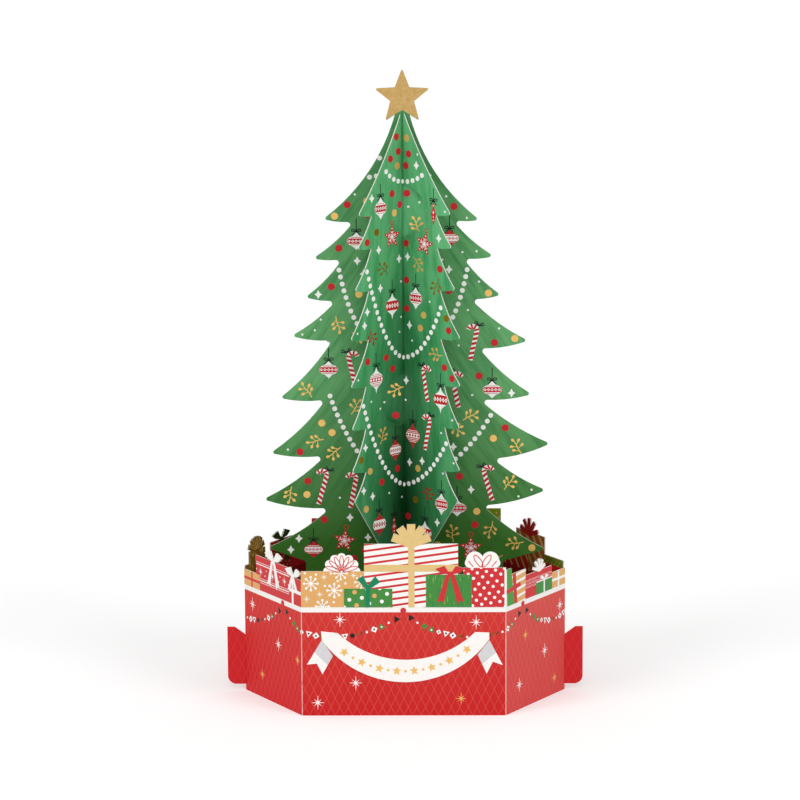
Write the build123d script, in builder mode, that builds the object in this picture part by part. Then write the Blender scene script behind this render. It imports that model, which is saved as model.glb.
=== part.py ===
"""A pop-up Christmas tree card, standing open.

A six-sided wall of printed card carries cut-out presents along its top edge. A flat centre sheet, cut as a
fir tree with a star, runs from one side fold to the other, and its two thumb tabs come out through slits in
those folds and hold the card open. A second and a third sheet, each folded down the tree's middle, are glued
to the front and the back of the centre sheet and give the tree its other four fins. Links from those fins to
the walls pull them open when the walls spread.

Millimetres. X runs to the right, Y away from the viewer, Z up. The origin is the middle of the base.
"""

import os
from math import hypot

from build123d import *

# The card stock, and the gap that a sliding sheet has in its slit
card = 0.4
slit_clearance = 0.15

# The six walls: one front, one back and four side walls, whose outer folds stand out past the front wall
front_width = 70.0
side_run = 21.16
half_depth = 33.0
band_top = 38.4
glue_flap = 8.0
glue_flap_taper = 2.0

# The presents above the band: the tallest one, and the reach of the largest bow from its knot
gift_height = 22.2
bow_reach = 6.8

# The centre sheet: its tree, its stem, the strut below it and the thumb tabs
tree_top = 204.0
tree_foot = 46.6
tree_crown = 2.4
side_reach = 51.0
stem_half = 34.5
stem_round = 1.0
strut_low = 2.1
strut_high = 20.2
strut_round = 4.0
tab_reach = 6.3
tab_high = 22.9
tab_round = 3.0
tab_shoulder = 2.6
tip_round = 0.7
notch_round = 1.0

# The star at the top of the centre sheet
star_middle = 209.3
star_reach = 10.0
star_notch = 4.3
star_round = 0.35
star_points = 5

# The folded sheets: their fins, the flaps that glue them to the centre sheet, and the links to the walls
fin_top = 204.2
fin_low = 72.1
fin_reach = 26.6
fin_crown = 0.7
fin_waist = 8.0
fin_waist_height = 47.6
left_fin_angle = 48.0
right_fin_angle = 42.0
hinge_flap_reach = 11.3
hinge_flap_height = 17.8
upper_flap_height = 170.4
lower_flap_height = 104.6
fin_cut_margin = 0.02
link_low = 8.0
link_high = 24.0
link_reach = 30.0
link_flap = 8.0

# Presents on each wall, left to right as seen from outside: left edge, right edge and top, as shares of the
# wall's width and of gift_height
front_gift_shares = [
    (0.0, 0.309, 0.568),
    (0.309, 0.767, 1.0),
    (0.61, 0.833, 0.514),
    (0.793, 1.0, 0.622),
]
left_gift_shares = [
    (0.0, 0.214, 0.243),
    (0.214, 0.796, 0.545),
    (0.796, 1.0, 0.423),
]
right_gift_shares = [
    (0.0, 0.092, 0.58),
    (0.092, 0.327, 0.482),
    (0.321, 0.77, 0.374),
    (0.77, 1.0, 0.252),
]
back_gift_shares = [
    (0.012, 0.3, 0.874),
    (0.3, 0.72, 1.0),
    (0.62, 0.982, 0.716),
]
back_left_gift_shares = [
    (0.0, 0.27, 0.42),
    (0.27, 0.61, 0.53),
    (0.61, 0.7, 0.32),
    (0.7, 0.94, 0.5),
    (0.94, 1.0, 0.3),
]
back_right_gift_shares = [
    (0.0, 0.3, 0.36),
    (0.3, 0.76, 0.64),
    (0.76, 1.0, 0.42),
]

# Bows on each wall: kind, place along the wall and height of the knot, as shares of the wall's width and of
# gift_height, and reach as a share of bow_reach
front_bow_shares = [
    ("shell", 0.2, 0.568, 0.93),
    ("petal", 0.539, 1.0, 1.0),
    ("ribbon", 0.728, 0.518, 0.74),
    ("loop", 0.886, 0.622, 0.89),
]
left_bow_shares = [
    ("ribbon", 0.52, 0.545, 0.85),
    ("ribbon", 0.86, 0.43, 0.75),
]
right_bow_shares = [
    ("fan", 0.556, 0.374, 0.6),
]
back_bow_shares = [
    ("loop", 0.2, 0.874, 0.8),
    ("petal", 0.5, 1.0, 1.0),
    ("ribbon", 0.82, 0.716, 0.8),
]
back_left_bow_shares = [
    ("ribbon", 0.44, 0.53, 0.8),
    ("petal", 0.83, 0.5, 0.7),
]
back_right_bow_shares = [
    ("fan", 0.55, 0.6, 0.86),
]

# A bow's parts as shares of its reach from the knot
petal_width_share = 0.42
fan_width_share = 0.26
shell_lobe_share = 0.23
loop_main_share = 0.44
loop_swell_share = 1.1
loop_side_share = 0.27
ribbon_loop_shares = [(0.39, 0.6), (1.0, 0.38), (0.63, 0.1)]
ribbon_knot_share = 0.16

# Branches of each fin, top to bottom: reach and height of the tip, then reach and height of the notch under
# it, as shares of the fin's reach and height. The lowest branch has no notch.
left_branch_shares = [
    (0.538, 0.768, 0.331, 0.762),
    (0.610, 0.681, 0.412, 0.679),
    (0.663, 0.595, 0.455, 0.587),
    (0.761, 0.509, 0.482, 0.499),
    (0.843, 0.370, 0.531, 0.366),
    (0.912, 0.246, 0.537, 0.240),
    (0.967, 0.141, 0.506, 0.121),
    (0.945, 0.030, 0.0, 0.0),
]
right_branch_shares = [
    (0.518, 0.765, 0.335, 0.765),
    (0.614, 0.685, 0.410, 0.680),
    (0.661, 0.599, 0.457, 0.590),
    (0.847, 0.497, 0.514, 0.480),
    (0.871, 0.377, 0.514, 0.366),
    (0.998, 0.266, 0.608, 0.232),
    (0.969, 0.161, 0.537, 0.126),
    (0.972, 0.026, 0.0, 0.0),
]
fin_branch_shares = [
    (0.835, 0.749, 0.586, 0.743),
    (0.857, 0.663, 0.598, 0.658),
    (0.910, 0.555, 0.650, 0.548),
    (0.996, 0.429, 0.658, 0.421),
    (1.0, 0.304, 0.714, 0.299),
    (0.985, 0.192, 0.722, 0.188),
    (0.985, 0.080, 0.726, 0.072),
    (0.947, 0.0, 0.0, 0.0),
]

# How far a branch's edges bow from straight, as shares of their length
crown_sag_share = 0.085
fin_crown_sag_share = 0.03
branch_sag_share = 0.045
belly_share = 0.05

# Where the folds of the walls stand
side_width = hypot(side_run, half_depth)
left_fold = Vector(-front_width / 2 - side_run, 0)
front_left = Vector(-front_width / 2, -half_depth)
front_right = Vector(front_width / 2, -half_depth)
right_fold = Vector(front_width / 2 + side_run, 0)
back_right = Vector(front_width / 2, half_depth)
back_left = Vector(-front_width / 2, half_depth)


def petal_bow(reach, width_share=petal_width_share, petals=5, spread=140):
    """A fan of flat petals round a knot, one of them upright."""
    width = width_share * reach
    with BuildSketch() as bow:
        Circle(width)
        with PolarLocations(reach / 2, petals, (180 - spread) / 2, spread, endpoint=True):
            Rectangle(reach, width)
    return bow.sketch


def fan_bow(reach):
    """A petal bow whose petals stand apart."""
    return petal_bow(reach, fan_width_share)


def shell_bow(reach, lobes=7):
    """Half a rosette with a scalloped rim."""
    lobe = shell_lobe_share * reach
    with BuildSketch() as bow:
        Circle(reach - lobe)
        with PolarLocations(reach - lobe, lobes, 0, 180, endpoint=True):
            Circle(lobe)
        with Locations((0, -reach)):
            Rectangle(2 * reach, 2 * (reach - lobe), mode=Mode.SUBTRACT)
    return bow.sketch


def loop_bow(reach):
    """Two round loops beside the knot with a smaller one outside each."""
    main = loop_main_share * reach
    side = loop_side_share * reach
    with BuildSketch() as bow:
        with Locations((-main, main), (main, main)):
            Circle(loop_swell_share * main)
        with Locations((side - reach, side), (reach - side, side)):
            Circle(side)
        Rectangle(2 * (reach - side), 2 * side)
    return bow.sketch


def ribbon_bow(reach):
    """Two pointed loops of ribbon that rise from the knot."""
    with BuildSketch() as bow:
        Circle(ribbon_knot_share * reach)
        for side in (-reach, reach):
            loop = [(side * across, reach * up) for across, up in ribbon_loop_shares]
            with BuildLine():
                Polyline((0, 0), *loop, close=True)
            make_face()
    return bow.sketch


bows = {"petal": petal_bow, "fan": fan_bow, "shell": shell_bow, "loop": loop_bow, "ribbon": ribbon_bow}


def wall_outline(width, gift_shares, bow_shares):
    """A wall and the presents on its band, its left fold at zero and its foot on the sketch's X axis."""
    with BuildSketch() as outline:
        Rectangle(width, band_top, align=(Align.MIN, Align.MIN))
        for left_share, right_share, top_share in gift_shares:
            with Locations((left_share * width, 0)):
                Rectangle(
                    (right_share - left_share) * width,
                    band_top + top_share * gift_height,
                    align=(Align.MIN, Align.MIN),
                )
        for kind, across_share, seat_share, reach_share in bow_shares:
            with Locations((across_share * width, band_top + seat_share * gift_height)):
                add(bows[kind](reach_share * bow_reach))
    return outline.sketch


def upright_plane(start, end):
    """The upright plane on the line from start to end, its normal on the right of that line."""
    along = (end - start).normalized()
    return Plane(origin=start, x_dir=along, z_dir=along.rotate(Axis.Z, -90))


def branch_edge(branch_shares, reach, low, high, crown, sag_share):
    """Draws a fin's toothed edge from its crown down to its lowest tip. Returns its tips and its notches."""
    point = (crown, high)
    tips = []
    notches = []
    for tip_reach, tip_height, notch_reach, notch_height in branch_shares:
        tip = (tip_reach * reach, low + tip_height * (high - low))
        tips.append(tip)
        SagittaArc(point, tip, -sag_share * hypot(tip[0] - point[0], tip[1] - point[1]))
        if notch_reach > 0:
            point = (notch_reach * reach, low + notch_height * (high - low))
            notches.append(point)
            SagittaArc(tip, point, belly_share * hypot(tip[0] - point[0], tip[1] - point[1]))
            sag_share = branch_sag_share
    return tips, notches


def round_corners(outline, corners, radius):
    """Rounds an outline's corners nearest to the places given."""
    fillet([outline.vertices().sort_by_distance(corner)[0] for corner in corners], radius)


def tree_half(branch_shares):
    """The centre sheet's tree on one side of its axis, down to the top of its stem."""
    with BuildSketch() as half:
        with BuildLine():
            tips, notches = branch_edge(
                branch_shares, side_reach, tree_foot, tree_top, tree_crown, crown_sag_share
            )
            Polyline(tips[-1], (stem_half, tree_foot), (0, tree_foot), (0, star_middle))
            Polyline((0, star_middle), (tree_crown, star_middle), (tree_crown, tree_top))
        make_face()
        round_corners(half, tips, tip_round)
        round_corners(half, notches, notch_round)
    return half.sketch


def fin_outline(window_height):
    """One fin of a folded sheet and its leg, from just behind the spine at zero, with a window in it."""
    with BuildSketch() as fin:
        with BuildLine():
            tips = branch_edge(
                fin_branch_shares, fin_reach, fin_low, fin_top, fin_crown, fin_crown_sag_share
            )[0]
            Polyline(tips[-1], (fin_waist, fin_waist_height), (fin_waist, link_high), (-card, link_high))
            Polyline((-card, link_high), (-card, fin_top), (fin_crown, fin_top))
        make_face()
        round_corners(fin, [(fin_crown, fin_top)] + tips, tip_round)
        with Locations((0, window_height)):
            Ellipse(hinge_flap_reach, hinge_flap_height / 2, mode=Mode.SUBTRACT)
    return fin.sketch


def strip_plan(*folds):
    """A strip of card that stands on edge, seen from above, with its folds rounded."""
    with BuildSketch() as plan:
        with BuildLine():
            Polyline(*folds)
            offset(amount=card / 2)
        make_face()
    return plan.sketch


# Front of the box: the front wall and the two side walls beside it, one folded sheet
with BuildPart() as slits:
    with BuildSketch(Plane.XZ):
        with Locations((left_fold.X, strut_low - slit_clearance), (right_fold.X, strut_low - slit_clearance)):
            Rectangle(
                glue_flap,
                strut_high - strut_low + 2 * slit_clearance,
                align=(Align.CENTER, Align.MIN),
            )
    extrude(amount=card / 2 + slit_clearance, both=True)

with BuildPart() as box_front:
    with BuildSketch(upright_plane(left_fold, front_left)):
        add(wall_outline(side_width, left_gift_shares, left_bow_shares))
    with BuildSketch(upright_plane(front_left, front_right)):
        add(wall_outline(front_width, front_gift_shares, front_bow_shares))
    with BuildSketch(upright_plane(front_right, right_fold)):
        add(wall_outline(side_width, right_gift_shares, right_bow_shares))
    extrude(amount=-card)
    add(slits.part, mode=Mode.SUBTRACT)
box_front.part.label = "box_front"

# Back of the box: the back wall and its two side walls, with a flap glued inside each front side wall
left_along = (front_left - left_fold).normalized()
right_along = (front_right - right_fold).normalized()
left_seam = left_fold + left_along.rotate(Axis.Z, 90) * card
right_seam = right_fold + right_along.rotate(Axis.Z, -90) * card
back_side_width = (back_left - left_seam).length

with BuildPart() as box_back:
    with BuildSketch(upright_plane(right_seam, back_right)):
        add(wall_outline(back_side_width, back_right_gift_shares, back_right_bow_shares))
    with BuildSketch(upright_plane(back_right, back_left)):
        add(wall_outline(front_width, back_gift_shares, back_bow_shares))
    with BuildSketch(upright_plane(back_left, left_seam)):
        add(wall_outline(back_side_width, back_left_gift_shares, back_left_bow_shares))
    flap_top = band_top - glue_flap_taper
    with BuildSketch(upright_plane(left_seam, left_seam + left_along)):
        with BuildLine():
            Polyline((0, 0), (glue_flap, glue_flap_taper), (glue_flap, flap_top), (0, band_top), close=True)
        make_face()
    with BuildSketch(upright_plane(right_seam, right_seam - right_along)):
        with BuildLine():
            Polyline((0, 0), (-glue_flap, glue_flap_taper), (-glue_flap, flap_top), (0, band_top), close=True)
        make_face()
    extrude(amount=-card)
    add(slits.part, mode=Mode.SUBTRACT)
box_back.part.label = "box_back"

# Centre sheet: the tree's two side fins with the star, the stem, and the strut with its thumb tabs
star_corners = [
    Vector(0, star_notch if corner % 2 else star_reach).rotate(Axis.Z, corner * 180 / star_points)
    for corner in range(2 * star_points)
]
with BuildSketch() as star_outline:
    with BuildLine():
        Polyline(*star_corners, close=True)
    make_face()
    fillet(star_outline.vertices().group_by(SortBy.DISTANCE)[-1], star_round)

with BuildPart() as centre_sheet:
    with BuildSketch(Plane.XZ) as centre_outline:
        add(tree_half(right_branch_shares))
        add(mirror(tree_half(left_branch_shares), about=Plane.YZ, mode=Mode.PRIVATE))
        with Locations((0, star_middle)):
            add(star_outline.sketch)
        with Locations((0, strut_low)):
            Rectangle(2 * stem_half, tree_foot - strut_low, align=(Align.CENTER, Align.MIN))
            Rectangle(2 * right_fold.X, strut_high - strut_low, align=(Align.CENTER, Align.MIN))
        stem_corners = centre_outline.vertices().filter_by(
            lambda v: abs(abs(v.X) - stem_half) < tip_round
        )
        fillet(stem_corners.filter_by(lambda v: v.Y > tree_foot - tip_round), stem_round)
        fillet(stem_corners.filter_by(lambda v: v.Y < strut_high + tip_round), strut_round)
        for side in (-1, 1):
            with BuildLine():
                Polyline(
                    (side * (right_fold.X - tab_reach), strut_low),
                    (side * (right_fold.X + tab_reach), strut_low),
                    (side * (right_fold.X + tab_reach), tab_high),
                    (side * (right_fold.X + tab_reach - tab_shoulder), tab_high),
                    (side * right_fold.X, strut_high),
                    (side * (right_fold.X - tab_reach), strut_high),
                    close=True,
                )
            make_face()
        tab_corners = centre_outline.vertices().filter_by(
            lambda v: abs(v.X) > right_fold.X + tab_reach - tip_round
        )
        fillet(tab_corners.filter_by(lambda v: v.Y < strut_high), tab_round)
        fillet(tab_corners.filter_by(lambda v: v.Y > strut_high), tab_round / 2)
    extrude(amount=card / 2, both=True)
centre_sheet.part.label = "tree_centre_sheet"

# Front folded sheet: two fins from one spine, hinge flaps on the centre sheet, and a link to the front wall
spine = Vector(0, -card)
left_knee = spine + Vector(-link_reach, 0).rotate(Axis.Z, left_fin_angle)
right_knee = spine + Vector(link_reach, 0).rotate(Axis.Z, -right_fin_angle)
flap_depth = half_depth - 3 * card / 2


def wall_seat(knee):
    """Where a link meets its wall: the place from which it also folds flat beside its fin."""
    across = abs(knee.X)
    inwards = flap_depth + knee.Y
    seat = (link_reach**2 - across**2 - inwards**2) / (2 * (link_reach - across))
    return Vector(seat if knee.X > 0 else -seat, -flap_depth)


left_seat = wall_seat(left_knee)
right_seat = wall_seat(right_knee)
left_flap_end = left_seat + Vector(link_flap, 0)
right_flap_end = right_seat - Vector(link_flap, 0)

with BuildPart() as front_fins:
    # Both fins from one strip folded at the spine
    with BuildSketch(Plane.XY.offset(link_high)):
        add(strip_plan(left_knee, spine, right_knee))
    extrude(amount=fin_top - link_high)
    with BuildSketch(upright_plane(spine, left_knee)):
        add(fin_outline(lower_flap_height))
    with BuildSketch(upright_plane(spine, right_knee)):
        add(fin_outline(upper_flap_height))
    extrude(amount=card / 2 + fin_cut_margin, both=True, mode=Mode.INTERSECT)
    # The legs, the links from their knees and the flaps glued on the wall
    with BuildSketch(Plane.XY.offset(link_low)):
        add(strip_plan(left_flap_end, left_seat, left_knee, spine, right_knee, right_seat, right_flap_end))
    extrude(amount=link_high - link_low)
    # Half-round flaps, cut from the fins' windows and glued flat on the centre sheet
    with BuildSketch(Plane.XZ.offset(card)):
        for side, height in ((1, upper_flap_height), (-1, lower_flap_height)):
            with Locations((0, height)):
                Ellipse(hinge_flap_reach, hinge_flap_height / 2)
            with Locations((-side * hinge_flap_reach / 2, height)):
                Rectangle(hinge_flap_reach, hinge_flap_height, mode=Mode.SUBTRACT)
    extrude(amount=card / 2, both=True)
front_fins.part.label = "tree_front_fins"

# Back folded sheet: the same cut, turned to face the back
with BuildPart() as back_fins:
    add(front_fins.part.rotate(Axis.Z, 180))
back_fins.part.label = "tree_back_fins"

os.makedirs("parts", exist_ok=True)
export_step(box_front.part, "parts/box_front.step")
export_step(box_back.part, "parts/box_back.step")
export_step(centre_sheet.part, "parts/tree_centre_sheet.step")
export_step(front_fins.part, "parts/tree_front_fins.step")
export_step(back_fins.part, "parts/tree_back_fins.step")
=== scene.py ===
"""The looks of a pop-up Christmas tree card, standing open on a pale floor.

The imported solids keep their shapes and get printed-card materials. Print with an outline of its own, such
as the presents and the ornaments, is laid on the sheets as thin closed shapes. Lengths here are in
millimetres and become metres where a mesh or a node is made.
"""

import math
import random

import bpy
from mathutils import Matrix, Vector
from mathutils.bvhtree import BVHTree


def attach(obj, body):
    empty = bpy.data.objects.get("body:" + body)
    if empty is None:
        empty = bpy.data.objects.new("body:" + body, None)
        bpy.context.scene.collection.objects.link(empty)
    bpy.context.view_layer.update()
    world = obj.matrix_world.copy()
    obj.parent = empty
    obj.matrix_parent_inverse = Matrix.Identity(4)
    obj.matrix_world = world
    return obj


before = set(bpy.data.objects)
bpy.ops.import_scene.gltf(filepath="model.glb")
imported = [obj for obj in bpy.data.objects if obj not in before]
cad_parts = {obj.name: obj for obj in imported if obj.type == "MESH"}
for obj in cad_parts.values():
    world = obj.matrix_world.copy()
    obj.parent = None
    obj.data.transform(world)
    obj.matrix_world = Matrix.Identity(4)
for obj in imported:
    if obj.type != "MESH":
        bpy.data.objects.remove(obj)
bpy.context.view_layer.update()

MM = 0.001
UP = Vector((0, 0, 1))

# The card's own sizes, as its solids have them
CARD = 0.4
HALF_FRONT = 35.0
SIDE_RUN = 21.16
HALF_DEPTH = 33.0
SIDE_WIDTH = math.hypot(SIDE_RUN, HALF_DEPTH)
BAND_TOP = 38.4
RIM_FOOT = 36.6
STRUT_TOP = 24.0
BOW_REACH = 6.8
# How far each fin is turned from the front wall's line
LEFT_ANGLE = math.radians(48)
RIGHT_ANGLE = math.radians(42)
# The star's gold lies above STAR_LOW and above the line z + STAR_SLOPE * |x| = STAR_FOOT
STAR_LOW = 200.5
STAR_SLOPE = 0.603
STAR_FOOT = 205.0

# How far each layer of print stands off the card, and how far its back reaches into it
LAYER = 0.025
ROOT = 0.02
# Neighbours in a layer end at slightly different heights, as shares of it, so that no two tops coincide
STAGGER = 0.08
STAGGERS = 9

# Print colours, as a screen shows them
INKS = {
    "bright_red": "D03337", "tree_red": "C7222B", "dark_red": "9C1A20", "shade_red": "B5161C",
    "white": "FAF8F4", "shade_white": "D6D6D8", "night": "14201C",
    # dull_gold is gold foil as it looks in shade, a darker copy of gold: painted shade
    "gold": "EEC06C", "dull_gold": "8A7210", "pale_gold": "E4C483", "tan": "E2AD6A", "ochre": "CDA55C",
    "leaf": "4F9A40", "pale_leaf": "78B04C", "deep_green": "458B40", "teal": "17835A",
    "lime": "7C9A14", "moss": "637512", "pine": "2D3F12",
    "twig": "80602E", "umber": "7A5A1A", "russet": "A8592A",
}

# Darker copies of the inks for the inside of the back's two side walls: painted shade inside the box.
# shade_red, moss, pine, ochre and umber serve only as these copies
SHADED = {
    "bright_red": "shade_red", "dark_red": "shade_red", "leaf": "moss", "deep_green": "moss", "teal": "pine",
    "white": "ochre", "tan": "ochre", "pale_gold": "ochre", "pale_leaf": "ochre", "twig": "umber",
}


def linear(code):
    """A screen colour such as D23A3F as Blender's linear red, green, blue and alpha."""
    parts = [int(code[i:i + 2], 16) / 255 for i in (0, 2, 4)]
    return tuple(p / 12.92 if p <= 0.04045 else ((p + 0.055) / 1.055) ** 2.4 for p in parts) + (1,)


# Shader nodes

def feed(node, inputs):
    """Sets a node's inputs, by name or number, to values, or links them to fields and sockets."""
    for key, value in inputs.items():
        value = getattr(value, "socket", value)
        if isinstance(value, bpy.types.NodeSocket):
            node.id_data.links.new(value, node.inputs[key])
        else:
            node.inputs[key].default_value = value
    return node


def add_node(tree, kind, inputs, **settings):
    node = tree.nodes.new("ShaderNode" + kind)
    for name, value in settings.items():
        setattr(node, name, value)
    return feed(node, inputs)


class Field:
    """A number that varies over a surface. Sums and products of fields add the nodes that work them out."""

    def __init__(self, tree, socket):
        self.tree = tree
        self.socket = socket

    def math(self, operation, *others, clamp=False):
        inputs = dict(enumerate((self, *others)))
        node = add_node(self.tree, "Math", inputs, operation=operation, use_clamp=clamp)
        return Field(self.tree, node.outputs[0])

    def __add__(self, other):
        return self.math("ADD", other)

    def __sub__(self, other):
        return self.math("SUBTRACT", other)

    def __mul__(self, other):
        return self.math("MULTIPLY", other)

    def __abs__(self):
        return self.math("ABSOLUTE")

    def at_most(self, other):
        return self.math("MINIMUM", other)

    def over(self, limit, soft):
        """0 below a limit and 1 above it, with a soft step between."""
        return (self - limit).math("MULTIPLY_ADD", 1 / soft, 0.5, clamp=True)

    def under(self, limit, soft):
        return (self - limit).math("MULTIPLY_ADD", -1 / soft, 0.5, clamp=True)


class Look:
    """A material under construction: its surface shader and the fields of place and facing that it reads."""

    def __init__(self, name, roughness=0.5, metallic=0.0, specular=0.2):
        self.material = bpy.data.materials.new(name)
        self.material.use_nodes = True
        self.tree = self.material.node_tree
        surface = {"Roughness": roughness, "Metallic": metallic, "Specular IOR Level": specular}
        self.shader = feed(self.tree.nodes["Principled BSDF"], surface)
        outputs = add_node(self.tree, "TexCoord", {}).outputs
        self.place = outputs["Object"]
        self.x, self.y, self.z = (axis * (1 / MM) for axis in self.split(self.place))
        self.facing_x, self.facing_y, _ = self.split(outputs["Normal"])

    def split(self, socket):
        parts = add_node(self.tree, "SeparateXYZ", {0: socket})
        return [Field(self.tree, output) for output in parts.outputs]

    def noise(self, size, detail=3.0, stretch=(1, 1, 1), turn=0.0):
        """Noise with grains of a size, from 0 to 1 and mostly near 0.5. Stretched grains can lean."""
        scale = [MM * size * part for part in stretch]
        grains = {"Vector": self.place, "Rotation": (0, turn, 0), "Scale": scale}
        mapping = add_node(self.tree, "Mapping", grains, vector_type="TEXTURE")
        inputs = {"Vector": mapping.outputs[0], "Scale": 1.0, "Detail": detail}
        return Field(self.tree, add_node(self.tree, "TexNoise", inputs).outputs[0])

    def mix(self, share, *colours):
        """A colour between two others. Each is a screen colour's code or a socket."""
        low, high = (linear(colour) if isinstance(colour, str) else colour for colour in colours)
        # A mix node's inputs 6 and 7 and its output 2 are those for colours
        return add_node(self.tree, "Mix", {0: share, 6: low, 7: high}, data_type="RGBA").outputs[2]

    def coated(self, colour, *coats):
        """A colour under coats of others, each given by its share and its colour."""
        for share, coat in coats:
            colour = self.mix(share, colour, coat)
        return colour

    def finish(self, colour, strength=0.12, depth=0.02, grain=0.5):
        """Sets the colour, adds the card's fine grain and gives the material."""
        relief = {"Strength": strength, "Distance": depth * MM, "Height": self.noise(grain)}
        feed(self.shader, {"Base Color": colour, "Normal": add_node(self.tree, "Bump", relief).outputs[0]})
        return self.material


def core_colour(look):
    """The card's white core, as its cut edges show it."""
    return look.mix(look.noise(1.2, 2.0), "DAD8CF", "EDEAE3")


def lattice_lines(look, across):
    """A lattice of narrow upright diamonds, 1 on its lines."""
    wide, tall, half_line = 2.95, 6.2, 0.085
    rising = (across * (1 / wide) + look.z * (1 / tall)).math("PINGPONG", 0.5)
    falling = (across * (1 / wide) - look.z * (1 / tall)).math("PINGPONG", 0.5)
    return rising.at_most(falling).under(half_line / wide, 0.05)


def wall_look(name, toward):
    """Card of three walls: red with a fine lattice below the rim, white at the rim and at every cut edge.

    toward is -1 for the front of the box and 1 for its back.
    """
    look = Look(name, roughness=0.5, specular=0.1)
    top, low = "D23A36", "C61E22"
    off_middle = abs(look.x)
    ahead = abs(look.facing_y).over(0.98, 0.01)
    on_sides = []
    for side in (-1, 1):
        turned = look.facing_x * HALF_DEPTH + look.facing_y * (side * toward * SIDE_RUN)
        on_sides.append(abs(turned * (1 / SIDE_WIDTH)).over(0.97, 0.02) * (look.x * side).over(0, 0.1))
    on_either = on_sides[0] + on_sides[1]
    along_side = (off_middle - HALF_FRONT) * (SIDE_WIDTH / SIDE_RUN)
    across = look.x * ahead + (along_side + HALF_FRONT) * on_either
    printed = (ahead + on_either).at_most(1.0)

    fade = (look.z * (1 / RIM_FOOT)).at_most(1.0)
    fold = off_middle.over(HALF_FRONT - 0.2, 0.1) * off_middle.under(HALF_FRONT + 0.14, 0.1)
    outward = (look.facing_x * look.x + look.facing_y * look.y).over(0, 1)
    # Coats for the side walls, then soft clouds, upright fibres, the lattice, worn folds and the rim
    red = look.coated(
        look.mix(fade, low, top),
        (on_either * fade.under(0.6, 1.2) * 0.7, "D8202A"),
        # A pale pink on the side wall at positive x: a painted reflection
        (on_sides[1] * 0.16, "F5A59C"),
        (look.noise(9.0).over(0.6, 0.9) * 0.3, top),
        (look.noise(0.55, stretch=(1, 1, 9)).over(0.58, 0.3) * 0.16, low),
        (lattice_lines(look, across) * 0.36, "E98572"),
        (fold * look.noise(2.5).over(0.3, 0.3) * 0.8, "F2C4BC"),
        (look.z.over(RIM_FOOT, 0.1), "F8F5F1"),
    )
    red = look.mix(outward, "A3161B", red)
    return look.finish(look.mix(printed, core_colour(look), red))


def tree_colour(look, light, middle, dark, lean):
    """Brushed greens: long strokes, some lighter and some darker, that lean along the branches."""
    strokes = []
    for turn in (lean, -lean):
        broad = look.noise(3.4, stretch=(1, 1, 6.5), turn=turn)
        hairs = look.noise(0.7, stretch=(1, 1, 11), turn=turn)
        strokes.append(broad * 0.72 + hairs * 0.28)
    stroke = strokes[0] + (strokes[1] - strokes[0]) * look.x.over(0, 0.5)
    clouds = look.noise(22.0, 2.0).over(0.52, 0.4) * 0.4
    return look.coated(middle, (stroke.over(0.5, 0.26), light), (stroke.under(0.43, 0.16) * 0.7, dark),
                       (clouds, middle))


def centre_look():
    """The centre sheet: green tree, red strut and tabs, gold star and white cut edges."""
    look = Look("printed_centre_card", roughness=0.48)
    printed = abs(look.facing_y).over(0.9, 0.1)
    off_middle = abs(look.x)
    # Darker near the stem and towards the foot: painted shade where the fins and the box shade the sheet,
    # with some of the print's own darker middle
    green = look.coated(
        tree_colour(look, "70B272", "579B60", "3A7C42", 0.62),
        (off_middle.under(19, 26) * 0.5, "2F7340"),
        (look.z.under(84, 62) * 0.9, "2C6008"),
    )
    star = (look.z + off_middle * STAR_SLOPE).over(STAR_FOOT, 0.12) * look.z.over(STAR_LOW, 0.1)
    foil = look.mix(look.noise(1.3, 4.0).over(0.5, 0.5), "BC9656", "D2AE70")
    red = look.mix(lattice_lines(look, off_middle) * 0.2, "D21F26", "E4766A")
    colour = look.coated(green, (star, foil), (look.z.under(STRUT_TOP, 0.2), red))
    # The star's cut edges are gold-brown, not the white core: painted shade along them
    edge = look.mix(star, core_colour(look), "A9803F")
    return look.finish(look.mix(printed, edge, colour))


def fin_look(name, toward):
    """A folded sheet's brighter green, white at its cut edges. toward is -1 in front and 1 behind."""
    look = Look(name, roughness=0.44)
    off_spine = abs(look.x)
    printed = abs(look.facing_y).over(0.97, 0.02) + off_spine.under(0.75, 0.1)
    for side, angle in ((-1, LEFT_ANGLE), (1, RIGHT_ANGLE)):
        facing = look.facing_x * (side * math.sin(angle)) + look.facing_y * math.cos(angle)
        printed += abs(facing).over(0.9, 0.1) * (look.x * (-toward * side)).over(0, 0.02)
    # Lighter towards the top. Darker towards the spine, most of all near its foot, and in a thin line on the
    # fold:
    # painted shade of the V and of the box, over some of the print's own darker middle
    spine, low = off_spine.under(7.5, 15), look.z.under(112, 90)
    green = look.coated(
        tree_colour(look, "6ABC80", "48A466", "2C8446", 0.16),
        (look.z.over(165, 60) * 0.3, "7CC48A"),
        (spine * (look.z.under(150, 110) * 0.45 + 0.15), "17733A"),
        (low * 0.45, "1C7036"),
        (spine * low, "022E0E"),
        (off_spine.under(0.4, 0.3) * 0.4, "0A4A22"),
    )
    return look.finish(look.mix(printed.at_most(1.0), core_colour(look), green))


def ink_look(name, code):
    """Flat print in one colour, with the slight unevenness of ink on card."""
    foil = name in ("gold", "dull_gold")
    look = Look("ink_" + name, roughness=0.36 if foil else 0.46, metallic=0.45 if foil else 0.0)
    swing = 0.24 if foil else 0.1
    value = look.noise(1.6).math("MULTIPLY_ADD", swing, 1 - swing / 2)
    mottled = add_node(look.tree, "HueSaturation", {"Color": linear(code), "Value": value})
    return look.finish(mottled.outputs[0])


# Flat print in sheets' own coordinates

class Face:
    """One printed side of a flat stretch of card: u runs along it, z is up and lift leaves its surface."""

    def __init__(self, start, along, out, sheet, tints=None):
        self.start = Vector(start)
        self.along = Vector(along).normalized()
        self.out = Vector(out).normalized()
        self.sheet = sheet
        self.tints = tints or {}

    def place(self, u, z, lift=0.0):
        return self.start + self.along * u + UP * z + self.out * lift


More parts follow.
